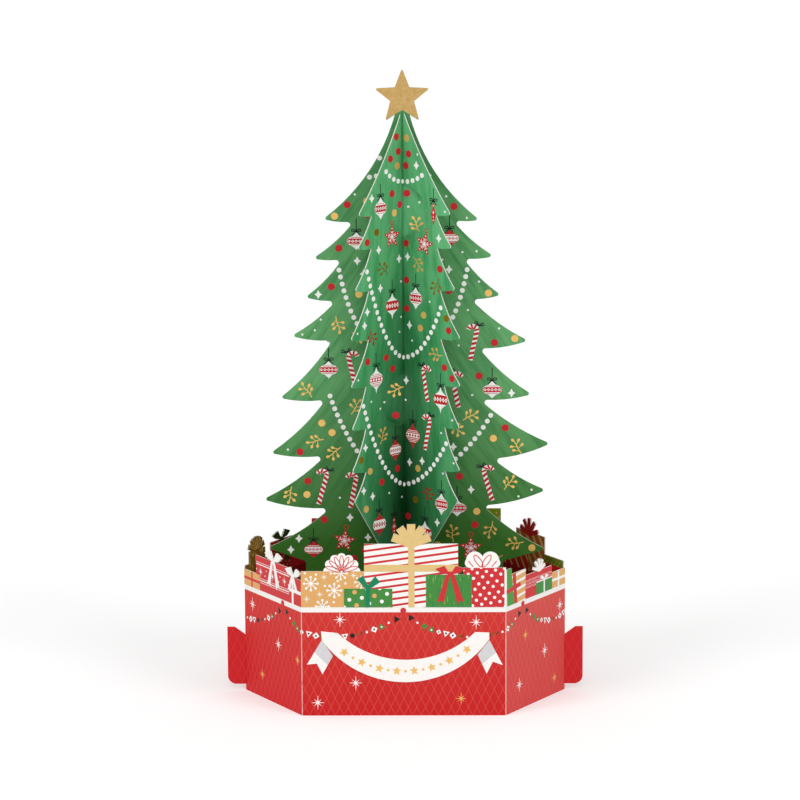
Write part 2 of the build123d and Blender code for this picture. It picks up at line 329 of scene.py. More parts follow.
class Sheet:
    """A node and all the print on it, kept by ink until its meshes are made."""

    def __init__(self, node, slot):
        self.node = node
        self.slot = slot
        self.shapes = {}
        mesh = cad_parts[node].data
        faces = [list(polygon.vertices) for polygon in mesh.polygons]
        self.tree = BVHTree.FromPolygons([vertex.co for vertex in mesh.vertices], faces)

    def covers(self, face, u, z, above=0.3, reach=0.35):
        """Whether the card is there under a place on a face."""
        hit = self.tree.ray_cast(face.place(u, z, above) * MM, -face.out, reach * MM)
        return hit[0] is not None

    def holds(self, face, u, z, radius):
        """Whether a whole disc lies on card, by its middle and 8 places round it."""
        return all(self.covers(face, *spot) for spot in circle(u, z, radius, 8) + [(u, z)])

    def build(self):
        """Makes one piece for each ink: every shape is a thin prism with a back, so that it is closed."""
        for ink, shapes in self.shapes.items():
            points, faces = [], []
            for index, (face, outline, layer) in enumerate(shapes):
                base, count = len(points), len(outline)
                high = (layer + STAGGER * (index % STAGGERS)) * LAYER
                for lift in (-ROOT, high):
                    points += [face.place(u, z, lift) * MM for u, z in outline]
                faces.append(list(range(base + count - 1, base - 1, -1)))
                faces.append(list(range(base + count, base + 2 * count)))
                for i in range(count):
                    j = (i + 1) % count
                    faces.append([base + i, base + j, base + count + j, base + count + i])
            mesh = bpy.data.meshes.new(f"{self.node}_{ink}_print")
            mesh.from_pydata(points, [], faces)
            mesh.materials.append(inks[ink])
            piece = bpy.data.objects.new(mesh.name, mesh)
            bpy.context.scene.collection.objects.link(piece)
            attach(piece, "root")


def arc(u, z, radius, start, sweep, steps):
    """Places on an arc, from a start over a sweep in degrees. A whole turn leaves its last place out."""
    last = steps if abs(sweep) < 360 else steps - 1
    angles = [math.radians(start + sweep * i / steps) for i in range(last + 1)]
    return [(u + radius * math.cos(a), z + radius * math.sin(a)) for a in angles]


def circle(u, z, radius, steps=16):
    return arc(u, z, radius, 0, 360, steps)


def polar(size, degrees):
    return (size * math.cos(math.radians(degrees)), size * math.sin(math.radians(degrees)))


def rectangle(left, right, low, high):
    return [(left, low), (right, low), (right, high), (left, high)]


def between(a, b, share=0.5):
    return tuple(a[n] + share * (b[n] - a[n]) for n in (0, 1))


def clip(outline, inside):
    """The part of an outline in a convex one (counter-clockwise)."""
    for i, (ax, ay) in enumerate(inside):
        bx, by = inside[(i + 1) % len(inside)]
        kept = []
        side = [(bx - ax) * (y - ay) - (by - ay) * (x - ax) for x, y in outline]
        for j, point in enumerate(outline):
            k = j - 1
            if side[j] * side[k] < 0:
                kept.append(between(outline[k], point, side[k] / (side[k] - side[j])))
            if side[j] >= 0:
                kept.append(point)
        outline = kept
        if len(outline) < 3:
            return []
    return outline


class Print:
    """Draws on one face. u is turned and placed by at(), so that a motif can be drawn round zero."""

    def __init__(self, face, layer=1, spot=(0, 0), turn=0.0, scale=1.0, window=None):
        self.face, self.layer, self.spot = face, layer, spot
        self.turn, self.scale, self.window = turn, scale, window

    def at(self, u, z, turn=0.0, scale=1.0, layer=0):
        """The same face seen from a spot on it, for a motif drawn round that spot."""
        spot = self.move((u, z))
        return Print(self.face, self.layer + layer, spot, self.turn + turn, self.scale * scale, self.window)

    def raised(self, layers):
        return self.at(0, 0, layer=layers)

    def move(self, point):
        c, s = polar(1, self.turn)
        u, z = point[0] * self.scale, point[1] * self.scale
        return (self.spot[0] + c * u - s * z, self.spot[1] + s * u + c * z)

    def shape(self, ink, outline, layer=0):
        moved = [self.move(point) for point in outline]
        area = sum(a[0] * b[1] - a[1] * b[0] for a, b in zip(moved, moved[1:] + moved[:1]))
        if area < 0:
            moved.reverse()
        if self.window:
            moved = clip(moved, self.window)
        if len(moved) < 3:
            return
        if self.face.along.cross(UP).dot(self.face.out) < 0:
            moved.reverse()
        ink = self.face.tints.get(ink, ink)
        self.face.sheet.shapes.setdefault(ink, []).append((self.face, moved, self.layer + layer))

    def dot(self, ink, u, z, radius, layer=0, steps=14):
        self.shape(ink, circle(u, z, radius, steps), layer)

    def line(self, ink, points, width, layer=0):
        """A stroke of even width, one four-sided shape for each stretch, with joints that meet."""
        sides = []
        for i, point in enumerate(points):
            before, after = points[max(i - 1, 0)], points[min(i + 1, len(points) - 1)]
            du, dz = after[0] - before[0], after[1] - before[1]
            length = math.hypot(du, dz) or 1.0
            nu, nz = -dz / length * width / 2, du / length * width / 2
            sides.append(((point[0] + nu, point[1] + nz), (point[0] - nu, point[1] - nz)))
        for (a, b), (c, d) in zip(sides, sides[1:]):
            self.shape(ink, [b, d, c, a], layer)


# Bows, and the patterns inside presents

def petal_bow(pen, ink, reach, share=0.42, line_ink=None):
    """Five flat petals round a knot, with drawn loops on them where there is an ink for it.

    share is a petal's width against its reach.
    """
    half = share * reach / 2
    pen.shape(ink, arc(0, 0, 2 * half, 0, 180, 12))
    for angle in (20, 55, 90, 125, 160):
        pen.at(0, 0, turn=angle).shape(ink, rectangle(0, reach, -half, half))
    if line_ink:
        for turn in (-60, -30, 0, 30, 60):
            drawn_loop(pen.at(0, 0, turn=turn, layer=2), line_ink, 0.5, reach - 0.08 * BOW_REACH, 0.45, 0.22)


def drawn_loop(pen, ink, near, far, half_width, stroke):
    """The outline of a long loop that points away from a knot at zero."""
    middle, half = (near + far) / 2, (far - near) / 2
    pen.line(ink, [(half_width * s, middle - half * c) for c, s in arc(0, 0, 1, 0, 359, 16)], stroke)


def shell_bow(pen, ink, reach, line_ink):
    lobe = 0.23 * reach
    inner = reach - lobe
    pen.shape(ink, arc(0, 0, inner, 0, 180, 16))
    above = rectangle(-2 * reach, 2 * reach, 0, 2 * reach)
    for u, z in arc(0, 0, inner, 0, 180, 6):
        pen.shape(ink, clip(circle(u, z, lobe), above))
    for degrees in (16, 41, 65, 90, 115, 139, 164):
        loop = pen.at(0, 0, turn=degrees - 90, layer=1)
        drawn_loop(loop, line_ink, 0.06 * reach, 0.88 * reach, 0.105 * reach, 0.26)


def loop_bow(pen, ink, reach, line_ink):
    main, side = 0.44 * reach, 0.27 * reach
    for sign in (-1, 1):
        pen.dot(ink, sign * main, main, 1.1 * main, steps=24)
        pen.dot(ink, sign * (reach - side), side, side)
        drawn_loop(pen.at(0, 0.3, turn=-sign * 34, layer=1), line_ink, 0, 0.82 * reach, 0.15 * reach, 0.3)
        crease = [(sign * 0.52 * reach, 0.06 * reach), (sign * 0.8 * reach, 0.4 * reach)]
        pen.line(line_ink, crease, 0.3, layer=1)
    pen.shape(ink, rectangle(side - reach, reach - side, 0, side))


def ribbon_bow(pen, ink, reach, tails=1.0, spread=1.0):
    """Two pointed loops that rise from a knot, and two notched tails under it."""
    pen.dot(ink, 0, 0, 0.16 * reach)
    for sign in (-1, 1):
        loop = [(0, 0), (sign * 0.39, 0.6), (sign, 0.38), (sign * 0.63, 0.1)]
        pen.shape(ink, [(u * reach, z * reach) for u, z in loop])
    if tails:
        for tail in ([(-0.27, -0.03), (-0.9, -1.98), (-0.6, -1.8), (-0.45, -2.04), (-0.02, -0.03)],
                     [(0.0, 0.0), (0.5, -2.12), (0.65, -1.8), (0.93, -1.95), (0.28, 0.0)]):
            pen.shape(ink, [(u * reach * spread, z * reach * tails) for u, z in tail])


def leaf_bow(pen, ink, half, length):
    """Two leaves on top of a ribbon, given by half its width and its length."""
    pen.shape(ink, rectangle(-half, half, -length, 0.8))
    pen.shape(ink, [(-half, 0.0), (-3.5, 3.3), (-1.6, 4.6), (0.2, 1.0)])
    pen.shape(ink, [(half, 0.0), (4.2, 2.3), (2.6, 4.4), (-0.2, 1.0)])


def snowflake(pen, ink, reach):
    for angle in range(0, 360, 45):
        arm = pen.at(0, 0, turn=angle)
        arm.line(ink, [(0, 0), (reach, 0)], 0.14 * reach)
        arm.dot(ink, reach, 0, 0.2 * reach, steps=10)
    pen.dot(ink, 0, 0, 0.26 * reach, steps=10)


def burst(pen, ink, reach):
    """Eight rays, the upright ones longest and the slanting ones shortest."""
    foot, tip = 0.07 * reach, 0.02 * reach
    for index, share in enumerate((0.86, 0.66, 1, 0.66) * 2):
        ray = [(0, -foot), (share * reach, -tip), (share * reach, tip), (0, foot)]
        pen.at(0, 0, turn=45 * index).shape(ink, ray)
    pen.dot(ink, 0, 0, 0.2 * reach, steps=10)


def snowy(inside, left, right, top):
    """Snowflakes, bursts and dots, placed from the lower left corner."""
    corner = inside.at(left, BAND_TOP)
    for u, z, reach in ((3.4, 8.3, 2.3), (11.4, 5.9, 2.3), (7.3, 0.3, 2.2), (13.6, 11.9, 2.1),
                        (20.6, 8.8, 2.0)):
        snowflake(corner.at(u, z), "white", reach)
    for u, z in ((7.9, 10.6), (6.4, 4.6), (1.9, 2.9), (18.0, 11.2), (16.9, 5.4)):
        burst(corner.at(u, z), "white", 1.4)
    for u, z in ((5.2, 11.5), (8.2, 7.5), (15.2, 8.4), (11.2, 1.8), (1.4, 12.0), (12.6, 9.2), (10.3, 11.9)):
        corner.dot("white", u, z, 0.42, steps=10)


def striped(inside, left, right, top, stripe, pitch, width, slope):
    """Stripes that climb to the right. width is a stripe's height."""
    rise = slope * (right - left)
    for i in range(math.floor(-rise / pitch), int((top - BAND_TOP) / pitch) + 2):
        low = BAND_TOP + 0.5 * pitch + i * pitch
        high = low + rise
        inside.shape(stripe, [(left, low), (right, high), (right, high + width), (left, low + width)])


def dotted(inside, left, right, top, spots, pitch):
    """Rows of dots that climb a little. spots are the dots' inks and radii, by turns."""
    row_pitch, shift, climb = 0.62, 0.42, 0.16
    for row in range(-1, int((top - BAND_TOP) / (row_pitch * pitch)) + 2):
        for column in range(-1, int((right - left) / pitch) + 2):
            u = left + (column + shift * row % 1) * pitch
            z = BAND_TOP + (row_pitch * row + climb * column) * pitch
            ink, radius = spots[(row + 2 * column) % len(spots)]
            inside.dot(ink, u, z, radius, steps=12)


def brushed(inside, left, right, top, strokes):
    """Short upright brush marks in inks by turns."""
    draw = random.Random(5)
    marks_each = 3.2
    for index in range(int((right - left) * marks_each)):
        u, z = draw.uniform(left, right), draw.uniform(BAND_TOP, top)
        length, width = draw.uniform(0.6, 2.1), draw.uniform(0.1, 0.24)
        mark = [(u - width, z), (u, z - length), (u + width, z), (u, z + length)]
        inside.shape(strokes[index % len(strokes)], mark)


def crossed(inside, left, right, top, ribbon, across, up, width):
    """A ribbon up the present and one across it, their places as shares of its width and height."""
    u, z = left + across * (right - left), BAND_TOP + up * (top - BAND_TOP)
    inside.shape(ribbon, rectangle(u - width / 2, u + width / 2, BAND_TOP, top))
    inside.shape(ribbon, rectangle(left, right, z - width / 2, z + width / 2))


def ruled(inside, left, right, top, line_ink):
    """Thin lines and a row of bursts between them, placed by shares of the present's width and height."""
    wide, tall = right - left, top - BAND_TOP
    for share, width in ((0.24, 0.16), (0.3, 0.34), (0.36, 0.16), (0.76, 0.34), (0.82, 0.16)):
        z = BAND_TOP + share * tall
        inside.line(line_ink, [(left, z), (right, z)], width)
    for across in (0.14, 0.5, 0.86):
        burst(inside.at(left + across * wide, BAND_TOP + 0.56 * tall), line_ink, 1.7)
    for across, up in ((0.27, 0.48), (0.31, 0.64), (0.69, 0.48), (0.73, 0.64), (0.02, 0.6), (0.98, 0.5)):
        inside.dot(line_ink, left + across * wide, BAND_TOP + up * tall, 0.28, steps=8)


def ticked(inside, left, right, top, line_ink):
    """Three rows of short slanting ticks."""
    pitch, row_pitch, first_row, tick = 0.8, 1.1, 3.6, (-0.4, 0.75)
    for row in range(3):
        for column in range(int((right - left) / pitch)):
            u, z = left + 0.5 * pitch + column * pitch, BAND_TOP + first_row + row * row_pitch
            inside.line(line_ink, [(u, z), (u + tick[0], z + tick[1])], 0.15)


def slanted(pen, top, shoulder):
    """Leaning green paper with a red ribbon up it and one across it. shoulder is its right side's foot."""
    pen.shape("leaf", [(0.7, BAND_TOP), (5.4, BAND_TOP), (3.6, shoulder), (3.6, top), (0.5, top)])
    pen.shape("bright_red", [(5.4, BAND_TOP), (7.2, BAND_TOP), (6.2, shoulder), (4.2, shoulder)])
    pen.shape("bright_red", [(0.4, 42.7), (9.6, 43.9), (9.0, 45.4), (0.4, 44.2)], layer=1)


def strip(pen, ink, length, height):
    pen.shape(ink, rectangle(0, length, 0, height))


# The walls' faces and their presents

def ring_faces(toward, outer, sheet):
    """A half box's three faces from left to right as seen from outside, each from its left fold."""
    # The back's side walls end at its glue flaps, inside the front's
    seam = 0 if toward < 0 else CARD
    end_x = HALF_FRONT + SIDE_RUN - seam * HALF_DEPTH / SIDE_WIDTH
    end_y = toward * seam * SIDE_RUN / SIDE_WIDTH
    y = toward * HALF_DEPTH
    folds = [Vector((toward * end_x, end_y, 0)), Vector((toward * HALF_FRONT, y, 0)),
             Vector((-toward * HALF_FRONT, y, 0)), Vector((-toward * end_x, end_y, 0))]
    faces = []
    for start, end in zip(folds, folds[1:]):
        along = (end - start).normalized()
        out = Vector((along.y, -along.x, 0))
        if outer:
            faces.append(Face(start, along, out, sheet))
        else:
            # Inside the back's side walls the inks take their darker copies: painted shade
            painted_shade = toward > 0 and abs(along.y) > 0.1
            faces.append(Face(start - out * CARD, along, -out, sheet, SHADED if painted_shade else None))
    return faces


# What each wall shows from its left fold, seen from outside the box. A present is its layer, its paper, its
# left and right edges, its top, and its pattern with what that needs. Any other shape is its layer, how it is
# drawn, its place and what it needs. Along all walls but the front, places are shares of the wall's width.
FRONT_WALL = [
    (0, "tan", 0, 21.63, 51.0, snowy),
    (1, shell_bow, 14.0, 51.0, "white", 0.93 * BOW_REACH, "bright_red"),
    (2, "white", 21.63, 36.7, 60.6, striped, "bright_red", 2.27, 0.76, 0.14),
    (2, "white", 38.8, 53.69, 60.6, striped, "bright_red", 2.27, 0.76, 0.14),
    (5, strip, 21.63, 50.9, "pale_gold", 32.06, 2.4),
    (5, "pale_gold", 36.7, 38.8, 61.0),
    (5, petal_bow, 37.73, 60.6, "pale_gold", BOW_REACH),
    (6, "deep_green", 14.7, 31.2, 44.9, dotted, [("white", 0.68), ("white", 0.68), ("tan", 0.8)], 4.3),
    (8, leaf_bow, 22.8, 44.9, "teal", 0.75, 6.5),
    (6, "deep_green", 42.7, 58.31, 49.8, brushed, ["pale_leaf", "leaf", "teal"]),
    (4, "bright_red", 55.51, 69.5, 52.2, dotted, [("white", 0.55)], 3.1),
    (4, "white", 69.5, 70.0, 52.2),
    (4, loop_bow, 62.0, 52.2, "white", 0.89 * BOW_REACH, "bright_red"),
    (10, ribbon_bow, 50.96, 49.9, "bright_red", 0.74 * BOW_REACH),
]
LEFT_WALL = [
    (0, "bright_red", 0.214, 0.796, 50.5, ruled, "white"),
    (3, "tan", 0, 0.28, 43.8, crossed, "bright_red", 0.5, 0.5, 0.9),
    (0, "bright_red", 0.796, 1, 47.8, crossed, "white", 0.3, 0.5, 1.2),
    (6, ribbon_bow, 0.52, 50.5, "white", 0.85 * BOW_REACH, 0.78, 0.8),
    (5, ribbon_bow, 0.86, 47.95, "white", 0.75 * BOW_REACH, 0.5, 0.7),
]
RIGHT_WALL = [
    (0, "white", 0, 0.092, 51.3),
    (0, "tan", 0.092, 0.327, 49.1, striped, "white", 2.6, 0.9, 0.1),
    (3, slanted, 0, 0, 51.3, 49.1),
    (2, "bright_red", 0.321, 0.77, 46.7, ticked, "white"),
    (3, petal_bow, 0.556, 46.7, "white", 0.6 * BOW_REACH, 0.26),
    (5, "deep_green", 0.5, 0.77, 43.0, crossed, "white", 0.5, 1.0, 0.8),
    (8, ribbon_bow, 0.635, 43.0, "white", 0.4 * BOW_REACH, 0),
    (0, "tan", 0.77, 1, 44.0, crossed, "white", 0.5, 0.5, 0.9),
]
BACK_WALL = [
    (0, "lime", 0.012, 0.3, 57.8, dotted, [("tan", 0.4)], 2.6),
    (0, "bright_red", 0.3, 0.72, 60.6, striped, "white", 3.2, 0.6, 0.1),
    (2, "bright_red", 0.62, 0.982, 54.3, crossed, "white", 0.55, 0.5, 1.4),
    (5, "pale_gold", 0.485, 0.515, 60.9),
    (5, loop_bow, 0.2, 57.8, "bright_red", 0.8 * BOW_REACH, "white"),
    (5, petal_bow, 0.5, 60.6, "pale_gold", BOW_REACH),
    (5, ribbon_bow, 0.82, 54.3, "white", 0.8 * BOW_REACH),
]
# The back's side walls, named as the viewer in front sees them
BACK_LEFT_WALL = [
    (0, "tree_red", 0, 0.27, 47.7),
    (0, "bright_red", 0.27, 0.61, 50.2, dotted, [("white", 0.3)], 2.4),
    (0, "leaf", 0.61, 0.7, 45.5, brushed, ["pale_leaf"]),
    (0, "twig", 0.7, 0.94, 49.5, brushed, ["tan"]),
    (0, "twig", 0.94, 1, 45.1),
    (3, ribbon_bow, 0.44, 50.2, "teal", 0.8 * BOW_REACH, 0.8),
    (3, petal_bow, 0.83, 49.5, "twig", 0.7 * BOW_REACH, 0.42, "tan"),
]
BACK_RIGHT_WALL = [
    (0, "deep_green", 0, 0.3, 46.4, dotted, [("pale_leaf", 0.28), ("tan", 0.24)], 2.0),
    (2, "dark_red", 0, 0.3, 43.6),
    (0, "russet", 0.3, 0.76, 52.6, striped, "tan", 5.6, 1.9, 1.3),
    (3, "dark_red", 0.56, 1, 47.7, striped, "tan", 5.6, 1.4, 1.3),
    (6, petal_bow, 0.55, 51.7, "dark_red", 0.86 * BOW_REACH, 0.26),
]


def print_presents(face, rows, unit=1.0):
    """Draws a wall's rows, their places along it in a unit."""
    pen = Print(face)
    for layers, first, *needs in rows:
        if callable(first):
            u, z, *rest = needs
            first(pen.at(u * unit, z, layer=layers), *rest)
            continue
        left, right, top, *pattern = needs
        left, right = left * unit, right * unit
        window = rectangle(left, right, BAND_TOP, top)
        pen.shape(first, window, layers)
        if pattern:
            draw, *rest = pattern
            draw(Print(face, pen.layer + layers + 1, window=window), left, right, top, *rest)


# The band below the presents

# Marks on a string, from one peg to the next
STRING = ["night_down", "bead", "leaf_square", "leaf_flag", "small_diamond", "flag", "diamond", "twig",
          "bead", "diamond", "flag", "night_dot", "twig", "bead", "diamond", "leaf_flag", "bead", "night_up"]
SQUARE = [(-1.2, 0), (0, -1.2), (1.2, 0), (0, 1.2)]
# Each cut mark's turn, scale, ink and outline, and the ink and height of the dot in it
MARKS = {
    "diamond": (0, 1, "white", SQUARE, ("night", 0)),
    "small_diamond": (0, 0.75, "white", SQUARE, ("night", 0)),
    "leaf_square": (20, 0.95, "deep_green", SQUARE, None),
    "flag": (0, 1, "white", [(-1.15, 0.95), (0, -1.15), (1.15, 0.95)], ("night", 0.25)),
    "leaf_flag": (0, 1, "deep_green", [(-1.15, -0.9), (1.15, -0.9), (0, 1.15)], ("white", -0.2)),
    "night_down": (0, 1, "night", [(-1.15, 0.95), (1.15, 0.95), (0, -1.05)], None),
    "night_up": (0, 1, "night", [(-1.15, -0.95), (1.15, -0.95), (0, 1.05)], None),
}
ROUND_MARKS = {"night_dot": ("night", 0.85), "bead": ("white", 0.42)}
TWIG = [("twig", [(-1.3, 0.7), (0, -0.1), (1.5, -0.5)], 0.22), ("twig", [(-0.9, 0.4), (-1.0, -0.6)], 0.2),
        ("twig", [(-0.1, 0.0), (0.5, 1.0)], 0.2), ("night", [(0.2, -0.2), (1.2, 0.5)], 0.2)]

# The strings' two ends and sag, and the pegs between them, along the walls from the front wall's left fold
SWAGS = [(34.9, 80.9, 8.2), (-12.5, 34.9, 8.2), (-60, -12.5, 9.4), (80.9, 123, 8.8)]
PEGS = (34.9, -12.5, 80.9)
PEG_HEIGHT = 37.4
BURST_REACH = {"white": 2.5, "gold": 2.1}
# Each wall's bursts, from its left fold
MIDDLE_BURSTS = [(13.2, 34.0, "white"), (59.8, 33.0, "white"), (18.5, 11.6, "white"), (5.4, 4.6, "white"),
                 (54.6, 6.0, "gold")]
LEFT_BURSTS = [(5.5, 32.2, "white"), (23.3, 21.7, "white"), (36.4, 19.1, "gold"), (11.8, 8.3, "gold")]
RIGHT_BURSTS = [(35.7, 31.3, "white"), (25.5, 17.2, "white"), (8.7, 8.8, "white"), (12.7, 25.7, "gold"),
                (32.1, 5.9, "gold")]


def string_mark(pen, kind):
    if kind in MARKS:
        turn, scale, ink, outline, spot = MARKS[kind]
        pen = pen.at(0, 0, turn, scale)
        pen.shape(ink, outline)
        if spot:
            pen.dot(spot[0], 0, spot[1], 0.34, layer=1, steps=8)
    elif kind in ROUND_MARKS:
        ink, radius = ROUND_MARKS[kind]
        pen.dot(ink, 0, 0, radius, steps=8)
    else:
        for ink, route, width in TWIG:
            pen.line(ink, route, width)


def swag(faces, start, end, sag, pitch=2.6, below_peg=1.4, reach=1, margin=0.08):
    """Paper shapes on a string between two pegs, none of them past a fold."""
    count = round((end - start) / pitch) + 1
    for i in range(1, count):
        share = i / count
        run = start + share * (end - start)
        swing = 2 * share - 1
        z = PEG_HEIGHT - below_peg - sag * (1 - swing * swing)
        slope = math.degrees(math.atan(4 * sag * swing / (end - start)))
        mark = STRING[(i - 1) % len(STRING)]
        for face, low, high in faces:
            if low - reach < run < high + reach:
                pen = Print(face, 2, window=rectangle(margin, high - low - margin, 0, BAND_TOP))
                string_mark(pen.at(run - low, z, turn=slope), mark)


def banner(pen):
    """A white ribbon hung in a bow, with gold stars and dots on it, and its ends folded back as tails."""
    for tail in ([(-28, 26.9), (-33.2, 18.2), (-29.8, 18.5), (-27.9, 14.7), (-24.3, 21.2)],
                 [(29.3, 26.8), (33.9, 17.9), (30.5, 19.1), (28.4, 14.9), (25.3, 21.6)]):
        pen.shape("white", tail)
        # The part next to the ribbon lies in its shade
        shade = [tail[0], tail[4], between(tail[4], tail[3]), between(tail[0], tail[1])]
        pen.shape("shade_white", shade, layer=1)
    # The ribbon's edges are two arcs: their middles, radii, left ends and runs
    edges = ((0.8, 53.3, 33.5, -22.5, 47.0), (0.5, 46.7, 34.8, -28.0, 57.3))
    steps = 28
    rungs = []
    for i in range(steps + 1):
        rung = []
        for middle_u, middle_z, radius, left, run in edges:
            u = left + run * i / steps
            rung.append((u, middle_z - math.sqrt(radius ** 2 - (u - middle_u) ** 2)))
        rungs.append(rung)
    for (a, b), (c, d) in zip(rungs, rungs[1:]):
        pen.shape("white", [b, d, c, a], layer=3)
    pen.shape("white", [(-28.3, 29.9), (-28.0, 26.7), (-22.5, 29.3)], layer=3)
    pen.shape("white", [(24.5, 29.6), (29.3, 27.0), (29.3, 29.4)], layer=3)
    line_middle, line_radius, first, pitch, count = 49.95, 34.15, -20.4, 3.0, 15
    for i in range(count):
        u = first + pitch * i
        z = line_middle - math.sqrt(line_radius ** 2 - u * u)
        mark = pen.at(u, z, turn=math.degrees(math.asin(u / line_radius)), layer=4)
        if i % 2 == 0:
            five_star(mark, "gold", 1.65)
        else:
            mark.dot("gold", 0, 0, 0.5, steps=10)


def five_star(pen, ink, reach, notch=0.45):
    pen.shape(ink, [polar(notch * reach if i % 2 else reach, 90 + i * 36) for i in range(10)])


# The tree's ornaments, each drawn round zero. turn is a count that changes inks, leans and sides

def body_and_mark_inks(turn):
    """White marked with red, and at every third turn red marked with white."""
    return ("white", "tree_red") if turn % 3 else ("tree_red", "white")


def by_turns(turn, choices):
    return choices[turn % len(choices)]


def hang_up(pen, reach):
    """A string with a small dark bow where it meets the ornament."""
    pen.line("night", [(0, reach), (0, reach + 4.8)], 0.3)
    for side in (-1, 1):
        loop = [(0, 0.4), (0.8, 1.25), (1.6, 1.15), (1.6, 0.55), (0, 0.3)]
        tail = [(0, 0.4), (0.7, -0.2), (1.4, -1.0)]
        for route in (loop, tail):
            pen.line("night", [(side * u, reach + z) for u, z in route], 0.34, layer=1)


def mirrored(half):
    """A whole outline from its right half, given from the top down."""
    return half + [(-u, z) for u, z in reversed(half)]


def scaled(points, across, up):
    return [(across * u, up * z) for u, z in points]


def diamonds(pen, ink, pitch, half, tall, mark_ink=None):
    """Five diamonds in a row, with a dot in each where there is an ink for it."""
    for i in range(-2, 3):
        diamond = pen.at(i * pitch, 0)
        diamond.shape(ink, [(-half, 0), (0, -tall), (half, 0), (0, tall)])
        if mark_ink:
            diamond.dot(mark_ink, 0, 0, 0.22, layer=1, steps=6)


def bauble(pen, turn, reach=2.95, up=2.4):
    """A round bauble with two points and a broad band. reach and up are half its width and height."""
    ink, mark_ink = body_and_mark_inks(turn)
    hang_up(pen, up * 1.55)
    pen.shape(ink, scaled(circle(0, 0, 1, 22), reach, up))
    for sign in (-1, 1):
        pen.shape(ink, scaled([(-0.42, 0.88), (0.42, 0.88), (0, 1.6)], reach, sign * up), layer=1)
        pen.line(mark_ink, scaled([(-0.6, 0.68), (0.6, 0.68)], reach, sign * up), 0.18, layer=1)
    pen.shape(mark_ink, mirrored(scaled([(0.86, 0.48), (0.99, 0.0), (0.86, -0.48)], reach, up)), layer=1)
    diamonds(pen.raised(2), ink, 0.38 * reach, 0.18 * reach, 0.28 * up, mark_ink)


def broad_bauble(pen, turn):
    bauble(pen, turn, 3.3, 1.9)


def drop_bauble(pen, turn, reach=3.2):
    """A bauble drawn out to two points, with a broad band or a narrow one between stripes by turns."""
    ink, mark_ink = body_and_mark_inks(turn + 1)
    hang_up(pen, reach * 1.36)
    half = [(0.14, 0.98), (0.36, 0.76), (0.82, 0.5), (1.0, 0.16), (1.0, -0.2), (0.8, -0.5), (0.36, -0.8)]
    half = scaled(half + [(0.13, -1.02)], reach, reach)
    tip, foot = (0, 1.36 * reach), (0, -1.5 * reach)
    pen.shape(ink, [tip] + half + [foot] + mirrored(half)[len(half):])
    if turn % 2:
        pen.shape(mark_ink, mirrored(half[2:6]), layer=1)
        diamonds(pen.raised(2), ink, 0.4 * reach, 0.19 * reach, 0.27 * reach, mark_ink)
        return
    band_half, band_up = 0.98 * reach, 0.22 * reach
    pen.shape(mark_ink, rectangle(-band_half, band_half, -band_up, band_up), layer=1)
    diamonds(pen.raised(2), ink, 0.42 * band_half, 0.17 * band_half, 0.8 * band_up)
    for z, stripe in ((0.36, 0.84), (0.54, 0.66), (-0.36, 0.84), (-0.54, 0.66), (-0.7, 0.46)):
        pen.line(mark_ink, scaled([(-stripe, z), (stripe, z)], reach, reach), 0.2, layer=1)


def spindle(pen, turn):
    """A long thin drop with small white flakes."""
    hang_up(pen, 3.6)
    side = [(0.55, 2.4), (0.3, 1.6), (1.2, -0.2)]
    pen.shape("tree_red", [(0, 3.7)] + side + [(0, -4.4)] + mirrored(side)[len(side):])
    burst(pen.at(0, 0.1, layer=1), "white", 1.0)
    for z in (-1.5, -2.6, 2.4):
        pen.dot("white", 0, z, 0.26, layer=1, steps=6)


def cane(pen, turn):
    """A striped cane, its hook to one side, with a bow on its neck."""
    pen = pen.at(0, 1.6, turn=by_turns(turn, (16, -13, 11)), scale=1.18)
    side = by_turns(turn, (1, -1, 1))
    radius, foot, neck, half_width, shaft_steps = 1.3, -7.2, 1.6, 0.68, 12
    route = [(0, foot + i * (neck - foot) / shaft_steps) for i in range(shaft_steps)]
    route += [(side * radius * (1 - c), neck + radius * s) for c, s in arc(0, 0, 1, 0, 180, 8)]
    pen.line("white", route, 2 * half_width)
    # Each stripe slants across the cane, by shares of the way from one step of its route to the next
    slant, wide = 0.8, 1.12
    for (au, az), (bu, bz) in zip(route[:-2:2], route[1::2]):
        du, dz = bu - au, bz - az
        length = math.hypot(du, dz)
        nu, nz = -dz / length * half_width, du / length * half_width
        corners = ((0, 1), (wide, 1), (wide + slant, -1), (slant, -1))
        stripe = [(au + along * du + edge * nu, az + along * dz + edge * nz) for along, edge in corners]
        pen.shape("tree_red", stripe, layer=1)
    for wing in (-1, 1):
        loop = [(0, 0), (wing * 1.1, 1.0), (wing * 1.5, 0.3), (0, -0.1)]
        pen.at(-0.2 * side, 3.5).line("night", loop, 0.3, layer=3)


def snow_star(pen, turn):
    """A red star with a white burst and specks, and a small ring to hang it by."""
    pen = pen.at(0, 0, turn=by_turns(turn, (8, -12, 0)))
    five_star(pen, "tree_red", 4.2, notch=0.46)
    pen.line("tree_red", circle(0, 4.9, 0.75, 10) + [(0.75, 4.9)], 0.26)
    for angle in range(18, 378, 72):
        arm = pen.at(0, 0, turn=angle, layer=1)
        arm.line("white", [(0, 0), (2.1, 0)], 0.22)
        arm.dot("white", 2.85, 0, 0.26, steps=6)
        for lean in (-1, 1):
            arm.line("white", [(1.35, lean * 0.2), (1.95, lean * 0.7)], 0.2)
        arm.at(0, 0, turn=36).line("white", [(0, 0), (1.3, 0)], 0.24)


